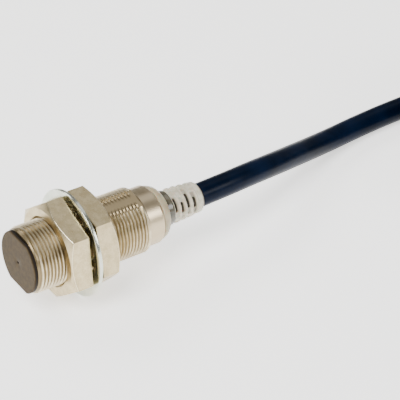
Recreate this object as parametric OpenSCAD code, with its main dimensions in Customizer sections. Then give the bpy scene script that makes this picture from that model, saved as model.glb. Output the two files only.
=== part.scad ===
// Inductive proximity sensor: M18 x 1 threaded barrel, flush sensing face, two hex nuts
// with a toothed lock washer between them, and a fixed cable with bare leads.
// The origin is the middle of the sensing face, +X runs along the barrel to the cable and
// +Z is up. The washer's rim and the cable lie on the surface below.

/* [Barrel] */
// Outer diameter of the thread
thread_d = 18; // [18:0.1:18.4]
// Distance from one thread crest to the next
thread_pitch = 1; // [1:0.5:1.5]
// How far the thread is cut below its crest
thread_depth = 0.55; // [0.4:0.05:0.6]
// Distance from the sensing face to the last thread crest
thread_end = 34.3; // [30:0.1:36]
// Distance from the sensing face to the rear end of the barrel
barrel_end = 39.9; // [38:0.1:42]
// Diameter of the plain rear end
plain_d = 16; // [15.6:0.1:16.4]
// Inner diameter of the barrel
bore_d = 14.6; // [14:0.1:14.6]
// Distance from the axis to the flat milled along the thread
marking_flat = 8.42; // [8.4:0.01:8.8]

/* [Sensing cap] */
// How far the cap stands out of the barrel
cap_lip = 1; // [0.5:0.1:1.5]
// Diameter of the cap's front disc
cap_d = 16.8; // [16:0.1:16.8]
// Distance from the axis to each of the cap's two flats
cap_flat = 7.4; // [7:0.1:8]
// Wall of the cap's skirt
cap_wall = 0.6; // [0.4:0.1:0.8]

/* [Nuts and washer] */
// Width across the flats of both nuts
nut_flats = 24; // [22:0.5:24]
// Thickness of each nut
nut_h = 5.8; // [4:0.1:5.8]
// Front of the front nut
front_nut_x = 8.6; // [8.6:0.1:9]
// Front of the rear nut
rear_nut_x = 17.2; // [17.2:0.1:18]
// Turn of the front nut about the axis, in degrees
front_nut_turn = 5.6; // [0:0.1:60]
// Turn of the rear nut about the axis, in degrees
rear_nut_turn = 13.5; // [0:0.1:60]
// Outer diameter of the toothed washer
washer_d = 29; // [29:0.5:30]
// Thickness of the washer's sheet
washer_t = 1; // [0.8:0.1:1]
// Number of twisted teeth inside the washer
washer_teeth = 14; // [10:1:16]

/* [Cable] */
// Diameter of the cable's jacket
cable_d = 6.6; // [6.4:0.1:6.6]
// Diameter of one insulated lead
lead_d = 1.5; // [1.2:0.1:1.6]

/* [Hidden] */
$fn = 96;
gap = 0.02;             // assembly clearance inside the sensor
crest_r = thread_d / 2;
root_r = crest_r - thread_depth;
bore_r = bore_d / 2;
plain_r = plain_d / 2;
floor_z = -washer_d / 2;

// Internal stations along the axis
skirt_end = 8.5;
core_front = cap_lip + 0.1;
core_back = 7.5;
groove_back = 5.5;
carrier_end = 9.8;
board_start = 8.8;
board_end = 36;
board_w = 12.4;
board_t = 1;
ring_plug = 37;
ring_end = 42.8;
clamp_end = 45;
boot_start = 45.05;
boot_end = 55;
slot_w = 0.8;
slots_round = 3;
boot_slots = [[45.8, 33, 28], [47.7, 15, 21], [49.6, 34, 29], [51.6, 19, 21]]; // x, middle, half
crimp_x = 38.5;          // where the cable's jacket starts

// Nuts and washer
nut_bore_r = crest_r + 0.06;
nut_corner_r = nut_flats / 2 / cos(30);
tooth_root_r = 11.9;
tooth_tip_r = 9.4;
tooth_w = 2.1;
tooth_twist = 26;
washer_mid = 15.8;

// The cable's route: out of the boot, down to the surface and along it to the coil
cable_r = cable_d / 2;
tie_t = 0.8;
lying = floor_z + cable_r;
coil_lying = lying + tie_t;
cable_route = [
  [38.5, 0, 0], [46, 0, 0], [54, 0, 0], [61, 0.3, 0], [67, 1, -0.3], [73, 2.3, -1],
  [80, 4.3, -2.3], [87, 6.8, -4], [94, 9.6, -5.9], [101, 12.4, -7.8], [108, 14.9, -9.4],
  [115, 16.9, -10.5], [122, 18.3, -11], [129, 19.2, lying], [136, 19.7, lying],
  [144, 20, lying], [152, 20, lying + 0.2], [160, 20, lying + 0.6], [168, 20, coil_lying]
];
// Turns across one layer of the coil
coil_columns = 3;
// Layers of turns in the coil
coil_layers = 3;
coil_mid_r = 5.5 * cable_d;
coil_in_r = coil_mid_r - cable_d * coil_columns / 2;
coil_out_r = coil_mid_r + cable_d * coil_columns / 2;
coil_centre = [178, cable_route[len(cable_route) - 1][1] - coil_out_r + cable_r];
coil_h = cable_d * coil_layers;
coil_base = floor_z + tie_t;
coil_top = coil_base + coil_h;
lead_r = lead_d / 2;
tip_r = 0.5;
tip_l = 6;
jacket_end_angle = -30;  // where the jacket stops on the coil's inner turn
lead_sweep = 60;         // how far round the coil the bare leads reach
lead_rings = 8;

function unit(v) = v / norm(v);
function along(route, i) =
  unit(route[min(i + 1, len(route) - 1)] - route[max(i - 1, 0)]);
function across(d) = unit(cross(d, [0, 0, 1]));

// Turns a shape that stands on +Z so that it lies along +X
module lying_along_x() {
  rotate([0, 90, 0]) children();
}

// Turns a shape made on the -Y side by an angle about the axis, from -Y towards +Z
module facing(angle) {
  rotate([-angle, 0, 0]) children();
}

// A round piece about the X axis, from points given as [radius, x]
module turned(points) {
  lying_along_x() rotate_extrude() polygon(points);
}

// A ring or sleeve about the X axis
module sleeve(r_in, r_out, x0, x1) {
  turned([[r_in, x0], [r_out, x0], [r_out, x1], [r_in, x1]]);
}

// A rod or disc about the X axis
module rod(r, x0, x1) {
  translate([x0, 0, 0]) lying_along_x() cylinder(r = r, h = x1 - x0);
}

// A round tube swept along a route of points, with flat ends
module swept(route, r, sides) {
  rings = [
    for (i = [0 : len(route) - 1])
      let (d = along(route, i), a = across(d), b = cross(a, d))
        [for (k = [0 : sides - 1])
          let (t = 360 * k / sides) route[i] + r * (cos(t) * a + sin(t) * b)]
  ];
  points = [for (ring = rings) each ring];
  last = sides * (len(route) - 1);
  walls = [
    for (i = [0 : len(route) - 2], k = [0 : sides - 1])
      let (m = (k + 1) % sides)
        [i * sides + k, i * sides + m, (i + 1) * sides + m, (i + 1) * sides + k]
  ];
  ends = [
    [for (k = [sides - 1 : -1 : 0]) k],
    [for (k = [0 : sides - 1]) last + k]
  ];
  polyhedron(points, concat(walls, ends), convexity = 4);
}

// Outline of the thread as rings: crest flats joined by 60 degree grooves
function thread_outline() =
  let (
    first = cap_lip + 1,
    turns = floor((thread_end - first) / thread_pitch),
    crest = thread_pitch / 8,
    flank = (thread_pitch - crest - thread_pitch / 4) / 2
  )
    [for (k = [0 : turns - 1], p = [
      [crest_r, 0], [crest_r, crest], [root_r, crest + flank], [root_r, thread_pitch - flank]
    ]) [p[0], first + k * thread_pitch + p[1]]];

module barrel() {
  lead_in = root_r - 0.1;
  color([0.74, 0.69, 0.6])
  difference() {
    turned(concat(
      [[bore_r, cap_lip], [lead_in, cap_lip], [lead_in, cap_lip + 0.2]],
      thread_outline(),
      [[crest_r, thread_end], [crest_r, thread_end + 0.1], [plain_r, thread_end + 0.7],
       [plain_r, barrel_end - 0.6], [plain_r - 0.4, barrel_end], [bore_r, barrel_end]]
    ));
    facing(73.5)
      translate([rear_nut_x - 2, -marking_flat - 5, -10])
        cube([thread_end + 0.7 - rear_nut_x + 2, 5, 20]);
  }
}

module sensing_cap() {
  color([0.52, 0.48, 0.42])
  difference() {
    union() {
      intersection() {
        turned([[0, 0], [cap_d / 2 - 0.25, 0], [cap_d / 2, 0.25], [cap_d / 2, cap_lip],
                [0, cap_lip]]);
        facing(85)
          translate([-1, -cap_flat, -10]) cube([cap_lip + 2, 2 * cap_flat, 20]);
      }
      sleeve(bore_r - gap - cap_wall, bore_r - gap, cap_lip, skirt_end);
    }
    rod(0.35, -1, 0.4);
  }
}

// A hex nut that is chamfered on its front side only
module nut() {
  face_r = nut_flats / 2 - 0.4;
  past_r = nut_corner_r + 1;
  sink = 0.6;
  seam = 17;
  difference() {
    intersection() {
      rotate([90, 0, 0]) lying_along_x() rotate([0, 0, 30])
        cylinder(r = nut_corner_r, h = nut_h, $fn = 6);
      rotate([seam, 0, 0])
        turned([[0, 0], [face_r, 0], [past_r, (past_r - face_r) * tan(30)],
                [past_r, nut_h + 1], [0, nut_h + 1]]);
    }
    turned([[0, -1], [nut_bore_r + sink + 1, -1], [nut_bore_r, sink],
            [nut_bore_r, nut_h - sink], [nut_bore_r + sink + 1, nut_h + 1], [0, nut_h + 1]]);
  }
}

module front_nut() {
  color([0.76, 0.71, 0.6])
    translate([front_nut_x, 0, 0]) facing(front_nut_turn) nut();
}

module rear_nut() {
  color([0.76, 0.71, 0.6])
    translate([rear_nut_x + nut_h, 0, 0]) facing(rear_nut_turn) mirror([1, 0, 0]) nut();
}

module lock_washer() {
  color([0.82, 0.83, 0.78])
  union() {
    sleeve(tooth_root_r, washer_d / 2, washer_mid - washer_t / 2, washer_mid + washer_t / 2);
    for (i = [0 : washer_teeth - 1])
      facing(360 * i / washer_teeth)
        translate([washer_mid, -tooth_root_r - 0.3, 0]) rotate([0, tooth_twist, 0])
          translate([-washer_t / 2 + 0.05, 0, -tooth_w / 2])
            cube([washer_t - 0.1, tooth_root_r + 0.3 - tooth_tip_r, tooth_w]);
  }
}

module ferrite_core() {
  color([0.2, 0.19, 0.19])
  difference() {
    rod(bore_r - cap_wall - 0.1, core_front, core_back);
    sleeve(2.2, 5.4, core_front - 1, groove_back);
    rod(0.8, core_front - 1, core_back + 1);
    for (s = [-1, 1])
      translate([0, 4 * s, 0]) rod(0.4, groove_back - 1, core_back + 1);
  }
}

module coil_bobbin() {
  inner = 2.2 + gap;
  color([0.86, 0.84, 0.78])
  difference() {
    turned([[inner, core_front + 0.05], [5.35, core_front + 0.05], [5.35, core_front + 0.45],
            [2.7, core_front + 0.45], [2.7, groove_back - 0.5], [5.35, groove_back - 0.5],
            [5.35, groove_back - gap], [inner, groove_back - gap]]);
    for (s = [-1, 1])
      translate([0, 4 * s, 0]) rod(0.4, groove_back - 1, core_back + 1);
  }
}

module coil_winding() {
  color([0.72, 0.4, 0.2])
    sleeve(2.7 + gap, 5.1, core_front + 0.45 + gap, groove_back - 0.5 - gap);
}

module winding_ends() {
  color([0.72, 0.4, 0.2])
    for (s = [-1, 1])
      translate([0, 4 * s, 0]) rod(0.15, groove_back - 0.5, carrier_end + 0.6);
}

module core_carrier() {
  color([0.25, 0.25, 0.27])
  difference() {
    turned([[0, core_back + 0.05], [bore_r - cap_wall - 0.1, core_back + 0.05],
            [bore_r - cap_wall - 0.1, skirt_end + 0.05], [bore_r - 0.05, skirt_end + 0.05],
            [bore_r - 0.05, carrier_end], [0, carrier_end]]);
    translate([board_start, -board_w / 2 - gap, -board_t / 2 - gap])
      cube([10, board_w + 2 * gap, board_t + 2 * gap]);
    for (s = [-1, 1])
      translate([0, 4 * s, 0]) rod(0.4, core_back - 1, carrier_end + 1);
  }
}

module circuit_board() {
  color([0.1, 0.35, 0.2])
  difference() {
    translate([board_start, -board_w / 2, -board_t / 2])
      cube([board_end - board_start, board_w, board_t]);
    for (s = [-1, 1])
      translate([board_start - 1, 4 * s - 0.4, -2]) cube([carrier_end - board_start + 2, 0.8, 4]);
  }
}

// A flat package on the board's upper (side 1) or lower (side -1) face
module package(x, y, l, w, h, side = 1) {
  z = side > 0 ? board_t / 2 : -board_t / 2 - h;
  translate([x - l / 2, y - w / 2, z]) cube([l, w, h]);
}

module oscillator_chip() {
  color([0.12, 0.12, 0.13]) {
    package(15, 0, 5, 4, 1.5);
    for (s = [-1, 1], k = [-1.5 : 1 : 1.5]) package(15 + k, s * 2.5, 0.4, 1, 0.3);
  }
}

module output_transistor() {
  color([0.14, 0.14, 0.15]) {
    package(26, 0, 6.5, 3.5, 1.6);
    for (k = [-2.3, 0, 2.3]) package(26 + k, 2.55, 0.7, 1.6, 0.3);
    package(26, -2.55, 3, 1.6, 0.3);
  }
}

module voltage_regulator() {
  color([0.14, 0.14, 0.15]) {
    package(20.5, 0, 3, 1.6, 1.1);
    for (s = [-1, 1], k = [-0.95, 0.95]) package(20.5 + k, s * 1.2, 0.4, 0.8, 0.2);
  }
}

module chip_capacitors() {
  color([0.75, 0.62, 0.42])
    for (p = [[12.2, 4.6], [18.6, 3.6], [18.6, -3.6], [22.6, 4.2], [30.6, -3.2]])
      package(p[0], p[1], 1.2, 2, 0.9);
}

module chip_resistors() {
  color([0.1, 0.1, 0.1])
    for (x = [13 : 3 : 31], s = [-1, 1])
      package(x, s * 3.4, 1.2, 2, 0.5, -1);
}

module trimmed_resistor() {
  color([0.9, 0.9, 0.88]) package(22, 0, 4, 3, 0.7, -1);
}

module indicator_leds() {
  color([0.95, 0.85, 0.6])
    for (side = [-1, 1], s = [-1, 1]) package(35, s * 4, 1.6, 2.6, 1.2, side);
}

module shield_foil() {
  color([0.78, 0.5, 0.3]) sleeve(6.9, 7.0, 10, 33);
}

module light_ring() {
  color([0.87, 0.84, 0.76])
    turned([[5.1, ring_plug], [bore_r - gap, ring_plug], [bore_r - gap, barrel_end + gap],
            [7.5, barrel_end + gap], [7.45, 40.6], [6.9, 41.8], [6.2, 42.5],
            [5.6, ring_end], [5.1, ring_end]]);
}

module cable_clamp() {
  color([0.6, 0.57, 0.52])
    turned([[cable_r + 0.3, ring_plug - 0.5], [5.1 - gap, ring_plug - 0.5],
            [5.1 - gap, 41.5], [4.9, 42], [4.9, clamp_end], [cable_r + 0.02, clamp_end],
            [cable_r + 0.02, crimp_x + 2.5], [cable_r + 0.3, crimp_x + 2.5]]);
}

module crimp_sleeve() {
  color([0.7, 0.7, 0.68]) sleeve(cable_r + 0.01, cable_r + 0.28, crimp_x, crimp_x + 2.4);
}

// A slot in the boot's wall: a block that reaches in from the -Y side, open to a given
// angle each way, with the wall's inner layer left whole
module boot_slot(x, half_angle) {
  floor_r = 3.6;
  far = 6;
  reach = far * tan(half_angle);
  translate([x - slot_w / 2, 0, 0]) rotate([90, 0, 90]) linear_extrude(slot_w)
    difference() {
      polygon([[0, 0], [-far, -reach], [-far, reach]]);
      circle(r = floor_r);
    }
}

module strain_relief_boot() {
  color([0.86, 0.84, 0.76])
  difference() {
    turned([[cable_r + 0.02, boot_start], [4.6, boot_start], [4.8, boot_start + 0.2],
            [4.3, boot_end - 1], [3.8, boot_end], [cable_r + 0.02, boot_end]]);
    for (row = boot_slots, k = [0 : slots_round - 1])
      facing(row[1] + 360 * k / slots_round) boot_slot(row[0], row[2]);
  }
}

// A lead from the circuit board into the cable's jacket
module board_lead(y, z) {
  swept([[32.5, y, z], [34.5, y, z], [36.5, y * 0.8, z * 0.85],
         [crimp_x - 0.3, y * 0.55, z * 0.6]],
        lead_r, 8);
}

module board_lead_brown() {
  color([0.4, 0.22, 0.12]) board_lead(-1.7, 1.4);
}

module board_lead_blue() {
  color([0.1, 0.25, 0.6]) board_lead(1.7, 1.4);
}

module board_lead_black() {
  color([0.08, 0.08, 0.08]) board_lead(0, -1.4);
}

module cable() {
  color([0.02, 0.05, 0.13]) swept(cable_route, cable_r, 12);
}

module cable_coil() {
  color([0.02, 0.05, 0.13])
    translate([coil_centre[0], coil_centre[1], coil_base]) rotate_extrude()
      translate([coil_in_r, 0]) square([coil_out_r - coil_in_r, coil_h]);
}

// Two flat ties, each a closed loop round the coil's bundle of turns
module coil_ties() {
  color([0.12, 0.12, 0.13])
    translate([coil_centre[0], coil_centre[1], coil_base])
      for (a = [20, 200])
        rotate([0, 0, a]) translate([coil_in_r, -2, 0])
          difference() {
            translate([-tie_t, 0, -tie_t])
              cube([coil_out_r - coil_in_r + 2 * tie_t, 4, coil_h + 2 * tie_t]);
            translate([-0.05, -1, -0.02])
              cube([coil_out_r - coil_in_r + 0.1, 6, coil_h + 0.04]);
          }
}

// The bare end: three insulated leads that fan out over the coil, each with a stripped tip
function lead_point(i, t) =
  let (
    angle = jacket_end_angle - lead_sweep * t,
    r = coil_in_r + 3 + 2 * i + (2 + 3 * i) * t * t
  )
    [coil_centre[0] + r * cos(angle), coil_centre[1] + r * sin(angle),
     coil_top + lead_r + 0.05];

function lead_route(i) = [for (k = [0 : lead_rings - 1]) lead_point(i, k / (lead_rings - 1))];

module end_lead(i) {
  swept(lead_route(i), lead_r, 8);
}

module end_lead_brown() {
  color([0.4, 0.22, 0.12]) end_lead(0);
}

module end_lead_blue() {
  color([0.1, 0.25, 0.6]) end_lead(1);
}

module end_lead_black() {
  color([0.08, 0.08, 0.08]) end_lead(2);
}

module lead_tips() {
  color([0.8, 0.5, 0.3])
    for (i = [0 : 2])
      let (route = lead_route(i), d = along(route, lead_rings - 1), p = route[lead_rings - 1])
        swept([p, p + tip_l * d], tip_r, 8);
}

sensing_cap();
barrel();
front_nut();
lock_washer();
rear_nut();
ferrite_core();
coil_bobbin();
coil_winding();
winding_ends();
core_carrier();
circuit_board();
oscillator_chip();
output_transistor();
voltage_regulator();
chip_capacitors();
chip_resistors();
trimmed_resistor();
indicator_leds();
shield_foil();
light_ring();
cable_clamp();
crimp_sleeve();
strain_relief_boot();
board_lead_brown();
board_lead_blue();
board_lead_black();
cable();
cable_coil();
coil_ties();
end_lead_brown();
end_lead_blue();
end_lead_black();
lead_tips();
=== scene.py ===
# %% [markdown]
# # A threaded proximity sensor
# The sensor is a brass barrel, cut with a fine thread along nearly its whole length and
# plated with nickel. A resin cap closes the sensing end, two hex nuts and a toothed
# washer sit on the thread, and a cable leaves through a slotted boot at the rear.
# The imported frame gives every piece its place. The work here is the surface: real helix,
# rounded edges and finishes that carry fine detail.

# %% Load the frame
import math

import bmesh
import bpy
import numpy as np
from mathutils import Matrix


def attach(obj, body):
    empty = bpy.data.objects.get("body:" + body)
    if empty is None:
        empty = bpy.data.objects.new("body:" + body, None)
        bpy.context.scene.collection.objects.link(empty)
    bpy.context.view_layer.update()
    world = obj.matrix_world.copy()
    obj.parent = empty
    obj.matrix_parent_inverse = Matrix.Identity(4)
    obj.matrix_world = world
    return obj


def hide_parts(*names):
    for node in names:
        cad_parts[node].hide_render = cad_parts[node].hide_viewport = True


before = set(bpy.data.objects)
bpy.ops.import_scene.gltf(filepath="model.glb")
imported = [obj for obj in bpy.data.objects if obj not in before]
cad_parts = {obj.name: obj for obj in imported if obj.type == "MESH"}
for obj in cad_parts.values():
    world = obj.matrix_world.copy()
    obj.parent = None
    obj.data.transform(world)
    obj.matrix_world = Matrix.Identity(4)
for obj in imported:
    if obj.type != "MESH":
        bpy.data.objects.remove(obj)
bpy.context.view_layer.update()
MM = 0.001

# %% [markdown]
# ## The camera
# A long lens keeps the barrel's two ends nearly the same size. The camera looks along the
# barrel from in front of the sensing face and from above, so the thread, both nuts and the
# cable are all seen in one view.

# %% Camera
AZIMUTH = math.radians(-34.925)
ELEVATION = math.radians(32.415)
CAMERA_AT = np.array([-193.05, -356.6, 274.53]) * MM
LENS = 173.98
camera = bpy.data.objects.new("camera", bpy.data.cameras.new("camera"))
camera.location = CAMERA_AT
camera.rotation_euler = (math.pi / 2 - ELEVATION, 0, AZIMUTH)
camera.data.lens = LENS
camera.data.sensor_width = 36
camera.data.clip_start = 0.01
bpy.context.collection.objects.link(camera)
bpy.context.scene.camera = camera
print("camera distance", round(float(np.linalg.norm(CAMERA_AT)), 3), "m")

# %% [markdown]
# ## Surfaces from grids
# Every new piece is a grid of points, worked out as whole arrays. A grid that is closed
# both ways is a ring. Where a row shrinks to a point, welding the points that coincide
# closes the pole. The volume's sign shows whether the faces point outwards.

# %% Grid to mesh
def build(name, grids, sharp=38.0, welded_seam=False):
    """Joins grids of points into one mesh. Each grid is rows by columns by 3, in
    millimetres. Rows and columns both close on themselves, unless the first and last
    columns already coincide. Coinciding points are welded, and each shell is turned so
    that its signed volume is positive."""
    points, faces, start = [], [], 0
    for grid in grids:
        rows, cols = grid.shape[:2]
        index = np.arange(rows * cols).reshape(rows, cols)
        right = np.roll(index, -1, axis=1)
        below = np.roll(index, -1, axis=0)
        across = np.roll(below, -1, axis=1)
        quads = np.stack([index, right, across, below], axis=-1)
        quads = (quads[:, :-1] if welded_seam else quads).reshape(-1, 4)
        flat = grid.reshape(-1, 3)
        a, b, c, d = (flat[quads[:, k]] for k in range(4))
        volume = np.sum(np.cross(a, b) * c) + np.sum(np.cross(a, c) * d)
        if volume < 0:
            quads = quads[:, ::-1]
        points.append(flat)
        faces.append(quads + start)
        start += len(flat)
    mesh = bpy.data.meshes.new(name)
    mesh.from_pydata((np.concatenate(points) * MM).tolist(), [], np.concatenate(faces).tolist())
    shell = bmesh.new()
    shell.from_mesh(mesh)
    bmesh.ops.remove_doubles(shell, verts=shell.verts, dist=2e-6)
    bmesh.ops.dissolve_degenerate(shell, edges=shell.edges, dist=1e-6)
    shell.to_mesh(mesh)
    shell.free()
    mesh.shade_smooth()
    mesh.set_sharp_from_angle(angle=math.radians(sharp))
    piece = bpy.data.objects.new(name, mesh)
    bpy.context.collection.objects.link(piece)
    print(name, len(mesh.polygons), "faces")
    return piece


def around(x, r, beta):
    """The point at station x and radius r, turned by beta from -Y towards +Z."""
    x, r, beta = np.broadcast_arrays(x, r, beta)
    return np.stack([x, -r * np.cos(beta), r * np.sin(beta)], axis=-1)


def turn(count):
    """The angles of one full turn, without the repeated last one."""
    return np.linspace(0, 2 * np.pi, count, endpoint=False)


def smooth(t):
    """Smoothstep: 0 below 0, 1 above 1, and 3t2 - 2t3 between."""
    t = np.clip(t, 0, 1)
    return t * t * (3 - 2 * t)


def rounded(points, radius, steps=5):
    """A closed outline with each corner replaced by a quadratic curve whose ends lie
    `radius` before and after the corner, or 0.45 of the side where the side is short."""
    p = np.array(points, float)
    before = np.roll(p, 1, axis=0) - p
    after = np.roll(p, -1, axis=0) - p
    size_b = np.linalg.norm(before, axis=1, keepdims=True)
    size_a = np.linalg.norm(after, axis=1, keepdims=True)
    cut = np.broadcast_to(np.reshape(radius, (-1, 1)), size_b.shape)
    a = p + before / size_b * np.minimum(cut, 0.45 * size_b)
    b = p + after / size_a * np.minimum(cut, 0.45 * size_a)
    t = np.linspace(0, 1, steps)[None, :, None]
    curve = (1 - t) ** 2 * a[:, None] + 2 * t * (1 - t) * p[:, None] + t * t * b[:, None]
    return curve.reshape(-1, 2)


def lathe(outline, count=144):
    """A closed outline of (radius, x) points turned about the barrel's axis."""
    return around(outline[:, 1][:, None], outline[:, 0][:, None], turn(count)[None, :])


def tube(path, radius, sides=16):
    """A round tube. The section is radius * (cos t * side + sin t * up), where side is
    the path's heading crossed with +Z. Both ends shrink to a point, so they close."""
    heading = np.gradient(path, axis=0)
    heading /= np.linalg.norm(heading, axis=1, keepdims=True)
    side = np.cross(heading, [0, 0, 1.0])
    side /= np.linalg.norm(side, axis=1, keepdims=True)
    up = np.cross(side, heading)
    t = turn(sides)[None, :, None]
    r = np.reshape(np.broadcast_to(radius, (len(path),)), (-1, 1, 1))
    rings = path[:, None] + r * (np.cos(t) * side[:, None] + np.sin(t) * up[:, None])
    first = np.repeat(path[:1, None], sides, axis=1)
    last = np.repeat(path[-1:, None], sides, axis=1)
    return np.concatenate([first, rings, last])


# %% [markdown]
# ## Shader maths as expressions
# A material's pattern is easier to read as a sum than as boxes and wires. A small class
# wraps a socket, so that adding or multiplying two sockets adds the Math node.

# %% Socket maths
class Wire:
    """A socket whose arithmetic adds Math nodes to its material."""

    def __init__(self, paint, socket):
        self.paint = paint
        self.socket = socket

    def _math(self, kind, a, b):
        return self.paint.node("ShaderNodeMath", {"operation": kind}, {0: a, 1: b})

    def __add__(self, other):
        return self._math("ADD", self, other)

    def __radd__(self, other):
        return self._math("ADD", other, self)

    def __sub__(self, other):
        return self._math("SUBTRACT", self, other)

    def __rsub__(self, other):
        return self._math("SUBTRACT", other, self)

    def __mul__(self, other):
        return self._math("MULTIPLY", self, other)

    def __rmul__(self, other):
        return self._math("MULTIPLY", other, self)

    def clip(self):
        return self.paint.node("ShaderNodeClamp", {}, {"Value": self})


class Paint:
    """One material: its nodes, its patterns and its principled shader."""

    def __init__(self, name, **fixed):
        self.material = bpy.data.materials.new(name)
        self.material.use_nodes = True
        self.tree = self.material.node_tree
        self.shader = self.tree.nodes["Principled BSDF"]
        for socket, value in fixed.items():
            self.shader.inputs[socket.replace("_", " ")].default_value = value
        self.place = self.node("ShaderNodeTexCoord", {}, {}, "Object")

    def node(self, kind, settings, inputs, out=0):
        """Adds a node: its settings first, then the values or links of its sockets."""
        made = self.tree.nodes.new(kind)
        for key, value in settings.items():
            setattr(made, key, value)
        for key, value in inputs.items():
            if isinstance(value, Wire):
                self.tree.links.new(value.socket, made.inputs[key])
            else:
                made.inputs[key].default_value = value
        return Wire(self, made.outputs[out])

    def noise(self, size, detail=3.0, stretch=(1, 1, 1), rough=0.55):
        """Fractal noise whose features are about `size` millimetres across."""
        placed = self.node("ShaderNodeMapping", {}, {"Vector": self.place, "Scale": stretch})
        return self.node("ShaderNodeTexNoise", {}, {
            "Vector": placed, "Scale": 1 / (size * MM), "Detail": detail, "Roughness": rough})

    def axis(self, name):
        """The X, Y or Z of the point in the frame, in metres."""
        return self.node("ShaderNodeSeparateXYZ", {}, {"Vector": self.place}, name)

    def fade(self, value, low, high):
        """Smoothstep of a value: 0 up to `low` and 1 from `high` on."""
        return self.node("ShaderNodeMapRange", {"interpolation_type": "SMOOTHSTEP"},
                         {"Value": value, "From Min": low, "From Max": high})

    def blend(self, amount, a, b):
        """Colour a where amount is 0 and colour b where it is 1."""
        return self.node("ShaderNodeMix", {"data_type": "RGBA"}, {0: amount, 6: a, 7: b}, 2)

    def bump(self, height, depth):
        """Turns height, 0 to 1, into a normal for a relief `depth` millimetres deep."""
        return self.node("ShaderNodeBump", {}, {"Height": height, "Distance": depth * MM,
                                                "Strength": 1.0})

    def set(self, **links):
        """Links wires to the shader's sockets and gives the finished material."""
        for socket, wire in links.items():
            self.tree.links.new(wire.socket, self.shader.inputs[socket.replace("_", " ")])
        return self.material


def colour(red, green, blue):
    """A linear colour from display values of 0 to 255."""
    c = np.array([red, green, blue]) / 255
    linear = np.where(c <= 0.04045, c / 12.92, ((c + 0.055) / 1.055) ** 2.4)
    return (*linear.tolist(), 1.0)


ROUGHNESS_SPREAD = 0.12


def finish(name, light, dark, grain, rough, relief, wide=3.0, **fixed):
    """The common finish: two close tones mixed by a cloud `wide` millimetres across and a
    fine grain, a roughness that follows the cloud, and a relief of `relief` millimetres."""
    paint = Paint(name, **fixed)
    cloud = paint.noise(wide, 2.0)
    fine = paint.noise(grain, 4.0, rough=0.65)
    tone = (cloud * 0.6 + fine * 0.4).clip()
    base = paint.blend(paint.fade(tone, 0.35, 0.65), dark, light)
    return paint.set(Base_Color=base, Roughness=(cloud - 0.5) * ROUGHNESS_SPREAD + rough,
                     Normal=paint.bump(fine, relief))


# %% [markdown]
# ## Plated metal
# The barrel and nuts are turned brass with a thin nickel plate. Nickel is a little warm, and
# over brass it warms more. The nuts come out of a tumbler with a fine grain, and the
# barrel keeps faint rings from the cutting tool.

# %% Sizes that the plated pieces and their finishes share, in millimetres
CREST_R, ROOT_R, THREAD_TO = 9.0, 8.45, 34.3
FLAT_BETA, FLAT_AT, FLAT_FROM = math.radians(73.5), 8.42, 15.2
FLATS, NUT_H = 24.0, 5.8
FRONT_NUT_X, REAR_NUT_X = 8.6, 17.2
CHAMFER_R = FLATS / 2 - 0.35
CHAMFER_GROWTH = 1 / math.tan(math.radians(30))
print("thread", 2 * CREST_R, "mm, chamfers from", 2 * CHAMFER_R, "mm across")


# %% Finish of the turned barrel
def turned_barrel():
    """Turned plate: tool rings are noise that changes along X only. The grooves lie between
    the squared radii of root and crest and are painted browner, as painted shade. The marking
    flat, where the distance towards FLAT_BETA is FLAT_AT, is also a little browner."""
    paint = Paint("plated barrel", Metallic=1.0)
    x, y, z = (paint.axis(axis) for axis in "XYZ")
    groove = 1 - paint.fade(y * y + z * z, (ROOT_R * MM) ** 2,
                            ((CREST_R - 0.15) * MM) ** 2)
    plain = paint.fade(x, (THREAD_TO - 0.1) * MM, (THREAD_TO + 0.6) * MM)
    towards_flat = z * math.sin(FLAT_BETA) - y * math.cos(FLAT_BETA)
    flat = paint.fade(towards_flat, (FLAT_AT - 0.08) * MM, (FLAT_AT - 0.02) * MM)
    flat = flat * paint.fade(x, (FLAT_FROM - 0.2) * MM, (FLAT_FROM + 0.2) * MM)
    rings = paint.noise(0.12, 3.0, stretch=(1, 0.002, 0.002))
    cloud = paint.noise(2.5, 3.0)
    base = paint.blend(paint.fade(cloud, 0.38, 0.66), colour(196, 181, 150),
                       colour(220, 207, 176))
    # Painted shade: the thread grooves are darkened between root and crest.
    base = paint.blend(groove, base, colour(136, 120, 90))
    base = paint.blend(plain, base, paint.blend(cloud, colour(190, 172, 140),
                                                colour(206, 190, 160)))
    base = paint.blend(flat, base, colour(174, 156, 122))
    return paint.set(Base_Color=base, Roughness=(cloud - 0.5) * 0.14 + 0.32,
                     Normal=paint.bump(rings, 0.0012))


plated_barrel = turned_barrel()
print("made", plated_barrel.name)


# %% Finish of the tumbled nuts, and of the washer
def tumbled_nut(name, face, way):
    """Grainy plate with a painted highlight along its chamfer edge. The chamfer is a cone whose
    radius is CHAMFER_R at the face, at X = face, and grows in the direction way behind it.
    The painted highlight is a strip where the cone's squared radius less the surface's is 1 to 7
    square millimetres."""
    paint = Paint(name, Metallic=1.0)
    x, y, z = (paint.axis(axis) for axis in "XYZ")
    cone = (x - face * MM) * (way * CHAMFER_GROWTH) + CHAMFER_R * MM
    inside = (cone * cone - (y * y + z * z)) * (1 / MM ** 2)
    # Painted highlight: a bright strip along the chamfer edge, kept off the front face.
    edge = paint.fade(inside, 1.0, 2.2) * (1 - paint.fade(inside, 4.0, 7.0))
    edge = edge * paint.fade((x - face * MM) * way, 0.05 * MM, 0.2 * MM)
    cloud, fine = paint.noise(2.0, 2.0), paint.noise(0.25, 4.0, rough=0.65)
    tone = paint.fade((cloud * 0.5 + fine * 0.5).clip(), 0.36, 0.64)
    base = paint.blend(tone, colour(186, 169, 130), colour(216, 200, 160))
    base = paint.blend(edge, base, colour(238, 226, 196))
    return paint.set(Base_Color=base, Roughness=(cloud * 0.2 + 0.22) - edge * 0.1,
                     Normal=paint.bump(fine, 0.01))


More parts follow.
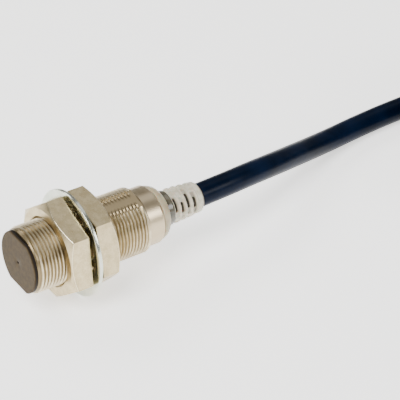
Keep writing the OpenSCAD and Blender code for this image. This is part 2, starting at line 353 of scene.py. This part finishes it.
front_plate = tumbled_nut("plated front nut", FRONT_NUT_X, 1)
rear_plate = tumbled_nut("plated rear nut", REAR_NUT_X + NUT_H, -1)
zinc_washer = finish("zinc plated washer", colour(226, 229, 215), colour(203, 208, 193), 0.12,
                     0.22, 0.006, wide=1.6, Metallic=1.0)
print("made", front_plate.name + ",", rear_plate.name, "and", zinc_washer.name)

# %% [markdown]
# ## Resins, rubber and jacket
# The sensing cap is a filled resin, dull and slightly grainy. The ring that carries the
# indicator's light is milky, so light enters it, and the boot is ivory rubber. The cap's
# skirt and gate mark carry painted shade, darker than its face, and the boot's slots carry
# painted shade, darker than its skin; both finishes place it from the coordinates.

# %% Plastic finishes
ring_plastic = finish("milky ring", colour(180, 168, 138), colour(162, 150, 120), 0.2, 0.3,
                      0.003, Subsurface_Weight=0.35, Subsurface_Scale=0.002)
clamp_plastic = finish("smoky clamp", colour(92, 87, 72), colour(62, 58, 46), 0.3, 0.22,
                       0.004, wide=1.5, Coat_Weight=0.3)
jacket_plastic = finish("cable jacket", colour(4, 18, 40), colour(1, 9, 24), 0.25, 0.3, 0.006,
                        wide=9.0, Specular_IOR_Level=0.07)
tie_nylon = finish("tie nylon", colour(42, 42, 45), colour(28, 28, 31), 0.2, 0.45, 0.006)
bright_copper = finish("stranded copper", colour(226, 148, 104), colour(190, 112, 72), 0.12,
                       0.28, 0.006, Metallic=1.0)
insulation = {
    "brown": finish("brown insulation", colour(112, 66, 38), colour(92, 52, 28), 0.2, 0.35, 0.004),
    "blue": finish("blue insulation", colour(38, 86, 168), colour(26, 66, 140), 0.2, 0.35, 0.004),
    "black": finish("black insulation", colour(34, 34, 36), colour(20, 20, 22), 0.2, 0.35, 0.004),
}

# %% Cap resin, with painted shade on the skirt and in the gate mark
def moulded_cap():
    """Brown grey resin, with painted shade on the skirt and in the gate mark. X tells the face
    from the skirt behind it, and the squared distance from the axis tells the gate mark in the
    middle of the face."""
    paint = Paint("cap resin", Specular_IOR_Level=0.1)
    y, z = paint.axis("Y"), paint.axis("Z")
    cloud = paint.noise(1.2, 3.0)
    face = paint.blend(paint.fade(cloud, 0.35, 0.65), colour(60, 48, 29), colour(72, 59, 38))
    # Painted shade: the skirt and the rim of the lip behind the face are darkened.
    skirt = paint.fade(paint.axis("X"), 0.08 * MM, 0.3 * MM)
    base = paint.blend(skirt, face, colour(30, 24, 18))
    # Painted shade: the gate mark's dimple is darkened nearly to black.
    gate_shade = paint.fade(y * y + z * z, (0.3 * MM) ** 2, (0.46 * MM) ** 2)
    base = paint.blend(gate_shade, colour(18, 14, 10), base)
    return paint.set(Base_Color=base, Roughness=cloud * 0.12 + 0.44,
                     Normal=paint.bump(paint.noise(0.1, 3.0), 0.008))


cap_resin = moulded_cap()
print("made", cap_resin.name)

# %% Ivory rubber, with painted shade in the slots
def slotted_rubber():
    """Ivory with painted shade that darkens it towards the axis: the distance from the axis is
    worked out from the Y and Z coordinates, and the floor of a slot lies nearer to it than the
    skin."""
    paint = Paint("ivory boot", Subsurface_Weight=0.15, Subsurface_Scale=0.001)
    y, z = paint.axis("Y"), paint.axis("Z")
    squared = y * y + z * z
    # Painted shade: near the axis, in the slot floors and the bore, the base turns dark brown.
    skin = paint.fade(squared, (3.4 * MM) ** 2, (4.3 * MM) ** 2)
    cloud = paint.noise(1.6, 3.0)
    ivory = paint.blend(paint.fade(cloud, 0.35, 0.65), colour(184, 176, 154),
                        colour(206, 199, 180))
    base = paint.blend(skin, colour(58, 50, 38), ivory)
    return paint.set(Base_Color=base, Roughness=cloud * 0.12 + 0.34,
                     Normal=paint.bump(paint.noise(0.14, 3.0), 0.006))


boot_rubber = slotted_rubber()
print("made", boot_rubber.name)

# %% [markdown]
# ## The cable
# The cable runs straight out of the boot, sinks to the surface under its own weight and
# swings gently along it. The rest of its two metres is stored as a round coil of three
# layers of three turns, held by two flat ties. The route repeats the listed points of
# the frame's cable. A Catmull-Rom curve through them keeps it smooth.

# %% Cable route
CABLE_R = 3.3
FLOOR_Z = -14.5
LYING = FLOOR_Z + CABLE_R
COIL_LYING = LYING + 0.8
ROUTE = np.array([
    [46, 0, 0], [54, 0, 0], [61, 0.3, 0], [67, 1, -0.3], [73, 2.3, -1],
    [80, 4.3, -2.3], [87, 6.8, -4], [94, 9.6, -5.9], [101, 12.4, -7.8], [108, 14.9, -9.4],
    [115, 16.9, -10.5], [122, 18.3, -11], [129, 19.2, LYING], [136, 19.7, LYING],
    [144, 20, LYING], [152, 20, LYING + 0.2], [160, 20, LYING + 0.6], [168, 20, COIL_LYING],
])
D = 2 * CABLE_R
COIL_MID = 5.5 * D
COIL_X, COIL_Y = 178.0, ROUTE[-1, 1] - COIL_MID - D
TURN_RADII = COIL_MID + D * np.array([1, 0, -1, -1, 0, 1, 1, 0, -1, -1])
TURN_HEIGHTS = COIL_LYING + D * np.array([0, 0, 0, 1, 1, 1, 2, 2, 2, 2])
END_TURNS = 8 + 120 / 360


def through(points, steps=6):
    """A Catmull-Rom curve: between two points, the cubic whose slope at each is half the
    step from its neighbour before to its neighbour after."""
    p = np.concatenate([2 * points[:1] - points[1:2], points, 2 * points[-1:] - points[-2:-1]])
    a, b, c, d = (p[k:len(p) - 3 + k, None] for k in range(4))
    t = np.linspace(0, 1, steps, endpoint=False)[None, :, None]
    curve = 0.5 * (2 * b + (c - a) * t + (2 * a - 5 * b + 4 * c - d) * t ** 2
                   + (3 * b - a - 3 * c + d) * t ** 3)
    return np.concatenate([curve.reshape(-1, 3), points[-1:]])


def coil_path(turns):
    """A wound coil. Each turn keeps its radius and height for five sixths of the way
    round, then slides to the next turn's. It starts at +Y and runs clockwise."""
    which = np.minimum(turns.astype(int), len(TURN_RADII) - 2)
    shift = smooth((turns - which - 5 / 6) * 6)
    r = TURN_RADII[which] * (1 - shift) + TURN_RADII[which + 1] * shift
    z = TURN_HEIGHTS[which] * (1 - shift) + TURN_HEIGHTS[which + 1] * shift
    angle = np.pi / 2 - 2 * np.pi * turns
    return np.stack([COIL_X + r * np.cos(angle), COIL_Y + r * np.sin(angle), z], axis=-1)


cable_path = np.concatenate([through(ROUTE), coil_path(np.arange(0, END_TURNS, 1 / 48))])

# %% Cable and bare leads
cable = build("cable_run", [tube(cable_path, CABLE_R, 20)])
JACKET_END = math.radians(-30)
LEAD_R = 0.75
COIL_TOP = COIL_LYING + 5 * CABLE_R
LEAD_TOP = COIL_TOP + LEAD_R + 0.05


def lead_path(i):
    """A bare lead: it leaves the jacket's end, climbs onto the coil within a quarter of
    its run and fans outward with the square of the way along."""
    t = np.linspace(0, 1, 40)
    angle = JACKET_END - math.radians(60) * t
    r = COIL_MID - D + (2 * i - 2) * smooth(t * 4) + (2 + 3 * i) * t * t
    sideways = (i - 1) * 1.5 * (1 - smooth(t * 4))
    z = COIL_LYING + 2 * D + (LEAD_TOP - COIL_LYING - 2 * D) * smooth(t * 3)
    return np.stack([COIL_X + (r + sideways) * np.cos(angle),
                     COIL_Y + (r + sideways) * np.sin(angle), z], axis=-1)


def stranded(path, radius):
    """Twisted strands: a tube whose radius rises and falls seven times round it, with
    the lobes turning steadily along the path."""
    grid = tube(path, 1.0, 42)
    centre = np.concatenate([path[:1], path, path[-1:]])[:, None]
    t = turn(42)[None, :]
    along = np.arange(len(grid))[:, None]
    lobes = radius * (0.88 + 0.12 * np.cos(7 * t + along * 0.35))
    return centre + (grid - centre) * lobes[..., None]


leads, tips = [], []
for i, name in enumerate(insulation):
    path = lead_path(i)
    lead = build("bare_lead_" + name, [tube(path, LEAD_R, 14)])
    lead.data.materials.append(insulation[name])
    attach(lead, "sensor")
    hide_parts("end_lead_" + name)
    name + "_insulation"
    leads.append(lead)
    heading = (path[-1] - path[-2]) / np.linalg.norm(path[-1] - path[-2])
    tips.append(stranded(path[-1] + np.linspace(0, 6, 26)[:, None] * heading, 0.55))
lead_tips = build("stripped_tips", tips)


# %% Ties round the coil
def tie_loop(angle):
    """A flat band round the bundle: a rounded rectangle, drawn round the coil's section,
    that is 4 mm wide along the coil and 0.7 mm thick."""
    half_w, half_h, wide, thick = 1.5 * D, 1.5 * D, 4.0, 0.7
    corners = np.array([[-1, -1], [1, -1], [1, 1], [-1, 1]], float)
    centre = np.array([COIL_MID, COIL_LYING + D])
    inner = rounded(corners * [half_w, half_h], 2.5, 9)
    outer = rounded(corners * [half_w + thick, half_h + thick], 3.0, 9)
    section = np.stack([inner, outer, outer, inner])
    offset = np.array([-1, -1, 1, 1])[:, None] * wide / 2
    r = section[..., 0] + centre[0]
    z = section[..., 1] + centre[1]
    c, s = math.cos(angle), math.sin(angle)
    return np.stack([COIL_X + r * c - offset * s, COIL_Y + r * s + offset * c, z], axis=-1)


coil_ties = build("coil_bands", [tie_loop(math.radians(a)) for a in (20, 200)])

# %% The cord and what is on it
for piece, material, slot, node in [
        (cable, jacket_plastic, "cable_jacket", "cable"),
        (lead_tips, bright_copper, "copper", "lead_tips"),
        (coil_ties, tie_nylon, "tie_plastic", "coil_ties")]:
    piece.data.materials.append(material)
    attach(piece, "sensor")
    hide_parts(node)
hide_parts("cable_coil")

# %% [markdown]
# ## The threaded barrel
# A real thread is one groove wound round the barrel, not a row of rings. The grid's rows
# follow the helix, so each crest and root edge is a row of its own and stays crisp. The
# column at a full turn falls on the column at zero, one pitch further on, and welding
# joins them. A flat milled along the top is a plane: no point may be further than it.

# %% Barrel
PITCH, THREAD_FROM, BARREL_END = 1.0, 1.2, 39.9
PLAIN_R, BORE_R = 8.0, 7.3


def milled(x, r, beta):
    """Cuts the radius back to the marking flat's plane, from FLAT_FROM to the plain end."""
    facing = np.cos(beta - FLAT_BETA)
    plane = FLAT_AT / np.maximum(facing, 0.2)
    return np.where((x > FLAT_FROM) & (facing > 0.2), np.minimum(r, plane), r)


def barrel_grid(columns=216):
    """Thread rows: x = row station + pitch * turn, held between the thread's two ends,
    and r from the thread's profile, cut by the lead-in cone and filled at the run-out."""
    phase = np.array([0.0, 0.035, 0.09, 0.125, 0.42, 0.49, 0.65, 0.71])
    height = np.array([0.95, 1.0, 1.0, 0.95, 0.05, 0.0, 0.0, 0.05])
    turns = int(THREAD_TO - THREAD_FROM) + 2
    station = (np.arange(turns)[:, None] * PITCH + phase).ravel()[:, None] + THREAD_FROM - PITCH
    beta = np.linspace(0, 2 * np.pi, columns + 1)[None, :]
    free_x = station + PITCH * beta / (2 * np.pi)
    tooth = np.tile(height, turns)[:, None] + 0 * beta
    tooth = np.maximum(tooth, smooth((free_x - THREAD_TO + 0.8) / 0.5))
    x = np.clip(free_x, THREAD_FROM, THREAD_TO)
    r = ROOT_R + (CREST_R - ROOT_R) * tooth
    lead_in = ROOT_R - 0.1 + (x - THREAD_FROM) * 0.8
    held = (free_x <= THREAD_FROM) | (free_x >= THREAD_TO)
    r = np.where(held & (x > 20), CREST_R, np.minimum(r, lead_in))
    thread = around(x, milled(x, r, beta), beta)
    rear = rounded([[CREST_R, THREAD_TO + 0.1], [PLAIN_R, THREAD_TO + 0.75],
                    [PLAIN_R, BARREL_END - 0.7], [PLAIN_R - 0.55, BARREL_END],
                    [BORE_R, BARREL_END], [BORE_R, 1.0], [ROOT_R - 0.1, 1.0]], 0.12)
    rear_x, rear_r = rear[:, 1][:, None], rear[:, 0][:, None]
    return np.concatenate([thread, around(rear_x, milled(rear_x, rear_r + 0 * beta, beta), beta)])


barrel = build("threaded_barrel", [barrel_grid()], sharp=24, welded_seam=True)

# %% [markdown]
# ## The sensing cap
# The cap is a moulded disc with two flats, so that it can be pressed in the right way
# round, and a gate mark in its middle. Its outline is the smaller of a circle and the
# distance to the flats, and every ring of the grid is that outline, scaled or inset.

# %% Sensing cap
CAP_R, CAP_FLAT, CAP_TURN = 8.4, 7.4, math.radians(85)


def cap_grid():
    """Rows of r = share * outline + inset at a station x, from the gate mark outwards,
    round the lip and along the skirt inside the barrel."""
    rows = np.array([
        [0, 0, 0.4], [0, 0.2, 0.4], [0, 0.3, 0.3], [0, 0.34, 0.03], [0, 0.42, 0],
        [0.3, 0, 0], [0.6, 0, 0], [0.85, 0, 0], [1, -0.3, 0], [1, -0.16, 0.02], [1, -0.06, 0.09],
        [1, -0.01, 0.2], [1, 0, 0.32], [1, 0, 0.96], [1, -0.04, 1.0], [0, 7.28, 1.0],
        [0, 7.28, 8.5], [0, 6.68, 8.5], [0, 6.68, 1.05], [0, 0, 1.05]])
    beta = turn(240)[None, :]
    outline = np.minimum(CAP_R, CAP_FLAT / np.maximum(np.abs(np.cos(beta - CAP_TURN)), 0.1))
    return around(rows[:, 2:3], rows[:, 0:1] * outline + rows[:, 1:2], beta)


cap = build("sensing_disc", [cap_grid()])

# %% [markdown]
# ## The nuts
# A hex nut's chamfer is a cone, and where the cone meets a flat it leaves a curved edge that
# catches the light; the nut's finish adds a painted highlight along it. The radius is the smooth
# smaller of the hexagon and the cone, which rounds every edge a little, as plating and tumbling
# do.

# %% Nuts
NUT_BORE, SINK, EDGE_SHARPNESS = 9.06, 0.55, 13.0


def nut_grid(front, angle, chamfer_front):
    """Radius at angle beta is the softened minimum of the flats' distance over the cosine
    from the nearest flat's middle and the chamfer cone, then the countersunk bore."""
    beta = angle + np.pi / 6 + turn(6 * 44)[None, :]
    from_flat = np.mod(beta - angle + np.pi / 6, np.pi / 3) - np.pi / 6
    hexagon = FLATS / 2 / np.cos(from_flat)
    depth = np.concatenate([np.linspace(0, 1.6, 26), np.linspace(1.75, NUT_H - 0.12, 10),
                            [NUT_H - 0.05, NUT_H - 0.015, NUT_H]])[:, None]
    cone = CHAMFER_R + depth * CHAMFER_GROWTH
    edge = np.interp(depth, [NUT_H - 0.12, NUT_H - 0.05, NUT_H], [0, 0.03, 0.12])
    near_r = FLATS / 2
    soft = -np.log(np.exp(-EDGE_SHARPNESS * (hexagon - near_r))
                   + np.exp(-EDGE_SHARPNESS * (cone - near_r)))
    outer = near_r + soft / EDGE_SHARPNESS - edge
    inner_r = np.array([NUT_BORE + SINK, NUT_BORE + 0.04, NUT_BORE, NUT_BORE,
                        NUT_BORE + 0.04, NUT_BORE + SINK])[:, None]
    inner_x = np.array([NUT_H, NUT_H - SINK, NUT_H - SINK - 0.05, SINK + 0.05, SINK,
                        0.0])[:, None]
    r = np.concatenate([outer, inner_r + 0 * beta])
    x = np.concatenate([depth, inner_x])
    if not chamfer_front:
        x = NUT_H - x
    return around(x + front, r, beta)


front_nut = build("hex_nut_front", [nut_grid(FRONT_NUT_X, math.radians(5.6), True)], sharp=30)
rear_nut = build("hex_nut_rear", [nut_grid(REAR_NUT_X, math.radians(13.5), False)], sharp=30)

# %% [markdown]
# ## The toothed washer
# The washer is stamped from sheet, and its inner teeth are twisted so that they bite into
# the nut. The ring is one turned outline. Each tooth is a rounded rectangle carried
# inwards along a radius while it twists.

# %% Lock washer
WASHER_X, TEETH, TWIST = 15.8, 14, math.radians(27)


def tooth_grid(beta):
    """A superellipse section, 0.95 by 2.2 mm, on 14 stations from inside the ring to the
    tooth's tip, twisting with smoothstep over the first two thirds of the way."""
    t = np.linspace(0, 1, 14)[:, None]
    phi = turn(28)[None, :]
    power = 0.38
    flat = 0.475 * np.sign(np.cos(phi)) * np.abs(np.cos(phi)) ** power
    wide = 1.12 * np.sign(np.sin(phi)) * np.abs(np.sin(phi)) ** power * (1 - 0.12 * t)
    size = np.where((t == 0) | (t == 1), 0.0, 1 - 0.12 * smooth((t - 0.9) * 10))
    a = TWIST * smooth(t * 1.5)
    x = WASHER_X + size * (flat * np.cos(a) + wide * np.sin(a))
    sideways = size * (wide * np.cos(a) - flat * np.sin(a))
    r = 12.3 + (9.35 - 12.3) * t + 0 * phi
    angle = beta + sideways / r
    return around(x, r / np.cos(sideways / r), angle)


ring = rounded([[11.9, WASHER_X - 0.5], [14.5, WASHER_X - 0.5], [14.5, WASHER_X + 0.5],
                [11.9, WASHER_X + 0.5]], [0.12, 0.22, 0.22, 0.12])
washer = build("toothed_washer",
               [lathe(ring, 240)] + [tooth_grid(2 * math.pi * k / TEETH) for k in range(TEETH)])

# %% [markdown]
# ## The rear end
# A milky ring closes the barrel and shows the indicator's light all round. A smoky clamp
# grips the cable inside it, and the boot behind has staggered slots that let it bend in a
# gentle curve. Each slot lies in a longer groove with a raised lip, and both are dents in
# the boot's radius.

# %% Light ring, clamp and boot
light_ring = build("indicator_ring", [lathe(rounded(
    [[5.1, 37], [7.28, 37], [7.28, 39.93], [7.55, 39.96], [7.48, 40.6], [6.95, 41.8],
     [6.2, 42.5], [5.5, 42.78], [5.1, 42.6]], 0.3))])
clamp = build("clamp_neck", [lathe(rounded(
    [[3.6, 36.5], [5.05, 36.5], [5.05, 42], [4.85, 44.6], [4.7, 44.95], [3.34, 44.95]], 0.2))])

# Each row of slots: its station, its slots' middle and half-length in degrees
SLOT_ROWS = [(45.75, 33, 28), (47.7, 15, 21), (49.6, 34, 29), (51.6, 19, 21)]
SLOTS_ROUND, MEAN_R, GROOVE_EXTRA = 3, 4.4, 20


def boot_grid():
    """Radius falls from 4.65 to 4.15 mm along the boot. A slot takes 0.85 mm off, where
    both its distance from the row's station and its angle from the slot's middle are
    small. It lies in a longer groove, 0.4 mm deep, with a lip 0.2 mm high round it."""
    x = np.concatenate([[45.02, 45.06, 45.14], np.linspace(45.22, 53.9, 150),
                        54.0 + np.sin(np.linspace(0, np.pi / 2, 9)) * 1.0])[:, None]
    beta = turn(264)[None, :]
    r = 4.65 - 0.5 * (x - 45) / 9 - 0.25 * (1 - smooth((x - 44.95) / 0.3))
    r = r - 0.75 * smooth((x - 53.9) / 1.1) ** 1.5 + 0.09 * smooth((x - 52.9) / 0.25)
    period = 2 * np.pi / SLOTS_ROUND
    for station, middle, half in SLOT_ROWS:
        off = np.mod(beta - math.radians(middle) + period / 2, period) - period / 2
        beyond = (np.abs(off) - math.radians(half)) * MEAN_R
        past_slot = np.maximum(beyond + 0.4, 0)
        past_groove = np.maximum(beyond - math.radians(GROOVE_EXTRA) * MEAN_R + 0.5, 0)
        from_slot = np.sqrt((x - station) ** 2 + past_slot ** 2)
        from_groove = np.sqrt((x - station) ** 2 + past_groove ** 2)
        r = r - 0.85 * (1 - smooth((from_slot - 0.36) / 0.14))
        r = r - 0.4 * (1 - smooth((from_groove - 0.38) / 0.3))
        r = r + 0.2 * np.exp(-((from_groove - 0.86) / 0.2) ** 2)
    inner_x = np.array([55.0, 54.9, 45.1, 45.02])[:, None]
    inner_r = np.array([3.45, 3.34, 3.34, 3.45])[:, None]
    return np.concatenate([around(x, r, beta), around(inner_x, inner_r, beta)])


boot = build("slotted_boot", [boot_grid()], sharp=50)

# %% Give the new pieces their finish and their place
for piece, material, body, node, slot in [
        (cap, cap_resin, "sensor", "sensing_cap", "cap_resin"),
        (barrel, plated_barrel, "sensor", "barrel", "plated_brass"),
        (front_nut, front_plate, "front_nut", "front_nut", "plated_brass"),
        (rear_nut, rear_plate, "rear_nut", "rear_nut", "plated_brass"),
        (washer, zinc_washer, "lock_washer", "lock_washer", "zinc_steel"),
        (light_ring, ring_plastic, "sensor", "light_ring", "ring_plastic"),
        (clamp, clamp_plastic, "sensor", "cable_clamp", "clamp_plastic"),
        (boot, boot_rubber, "sensor", "strain_relief_boot", "boot_rubber")]:
    piece.data.materials.append(material)
    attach(piece, body)
    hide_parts(node)
    print(piece.name, "rides on", body)

# %% [markdown]
# ## Inside the barrel
# The parts inside keep the frame's own shapes. Each still gets its real finish: pressed
# ferrite, enamelled copper wire, a green laminate with its weave, and moulded packages.

# %% Inner finishes
def wound_copper():
    """Fine parallel wire: a wave across the axis, 0.12 mm from wire to wire."""
    paint = Paint("enamelled winding", Metallic=1.0)
    wave = paint.node("ShaderNodeTexWave", {"bands_direction": "X"}, {
        "Vector": paint.place, "Scale": 1 / (0.12 * MM) / 20, "Distortion": 0.4})
    base = paint.blend(wave, colour(120, 62, 34), colour(206, 118, 70))
    return paint.set(Base_Color=base, Roughness=wave * 0.1 + 0.3, Normal=paint.bump(wave, 0.05))


def laminate():
    """Solder mask over woven glass: two crossed waves give the weave."""
    paint = Paint("board laminate", Coat_Weight=0.4)
    warp = paint.node("ShaderNodeTexWave", {"bands_direction": "X"},
                      {"Vector": paint.place, "Scale": 90.0})
    weft = paint.node("ShaderNodeTexWave", {"bands_direction": "Y"},
                      {"Vector": paint.place, "Scale": 90.0})
    weave = warp * weft
    base = paint.blend(weave, colour(16, 74, 42), colour(34, 104, 62))
    return paint.set(Base_Color=base, Roughness=weave * 0.1 + 0.35,
                     Normal=paint.bump(weave, 0.01))


moulded = finish("moulded package", colour(52, 52, 55), colour(34, 34, 37), 0.1, 0.5, 0.01)
pressed_ferrite = finish("pressed ferrite", colour(66, 63, 62), colour(44, 42, 42), 0.2, 0.6, 0.02)
pale_moulding = finish("pale moulding", colour(222, 214, 196), colour(202, 193, 172), 0.3, 0.45,
                       0.01)
fired_ceramic = finish("fired ceramic", colour(206, 178, 134), colour(176, 146, 102), 0.1, 0.4,
                       0.01)
clear_resin = finish("indicator resin", colour(240, 224, 170), colour(226, 202, 140), 0.3, 0.15,
                     0.003, Subsurface_Weight=0.3, Subsurface_Scale=0.001)
inner = {
    "ferrite_core": pressed_ferrite, "coil_bobbin": pale_moulding,
    "coil_winding": wound_copper(), "winding_ends": bright_copper, "core_carrier": moulded,
    "circuit_board": laminate(), "oscillator_chip": moulded, "output_transistor": moulded,
    "voltage_regulator": moulded, "chip_capacitors": fired_ceramic, "chip_resistors": moulded,
    "trimmed_resistor": pale_moulding, "indicator_leds": clear_resin,
    "shield_foil": bright_copper, "crimp_sleeve": zinc_washer,
    "board_lead_brown": insulation["brown"], "board_lead_blue": insulation["blue"],
    "board_lead_black": insulation["black"],
}
for node, material in inner.items():
    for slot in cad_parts[node].material_slots:
        slot.material = material
print(len(inner), "inner nodes finished")

# %% [markdown]
# ## Studio
# A pale floor and soft light. The metal shows what surrounds it, so the light is shaped:
# a bright floor brightens the lower faces, and a dimmer sky leaves the upper faces calm.

# %% Floor and lights
floor_paint = finish("studio floor", colour(252, 252, 252), colour(250, 250, 250), 6.0, 0.7,
                     0.01, wide=300.0, Emission_Color=(1, 0.99, 0.96, 1), Emission_Strength=1.3)
EXTENT = 3.0
floor_mesh = bpy.data.meshes.new("floor")
floor_mesh.from_pydata([(-EXTENT, -EXTENT, FLOOR_Z * MM), (EXTENT, -EXTENT, FLOOR_Z * MM),
                        (EXTENT, EXTENT, FLOOR_Z * MM), (-EXTENT, EXTENT, FLOOR_Z * MM)],
                       [], [(0, 1, 2, 3)])
floor = bpy.data.objects.new("floor", floor_mesh)
floor.data.materials.append(floor_paint)
bpy.context.collection.objects.link(floor)


def softbox(name, at, aim, size, power):
    """A rectangular area light at one point, turned towards another."""
    data = bpy.data.lights.new(name, "AREA")
    data.shape = "RECTANGLE"
    data.size, data.size_y = size
    data.energy = power
    lamp = bpy.data.objects.new(name, data)
    lamp.location = at
    away = np.array(at) - np.array(aim)
    flat = math.hypot(away[0], away[1])
    lamp.rotation_euler = (math.atan2(flat, away[2]), 0, math.atan2(away[0], -away[1]))
    bpy.context.collection.objects.link(lamp)


softbox("key", (-0.75, -0.35, 1.1), (0.03, 0, 0), (0.8, 0.8), 26)
softbox("back", (-0.1, 1.1, 0.9), (0.02, 0, 0), (1.2, 0.5), 10)
softbox("right", (0.9, -1.0, 0.6), (0.03, 0, 0), (0.6, 0.5), 8)
softbox("top card", (0.77, 0.25, 1.3), (0.03, 0, 0), (0.7, 0.9), 1.7)
world = bpy.data.worlds.new("studio")
bpy.context.scene.world = world
world.use_nodes = True
world.node_tree.nodes["Background"].inputs["Color"].default_value = (1, 0.99, 0.97, 1)
world.node_tree.nodes["Background"].inputs["Strength"].default_value = 0.27
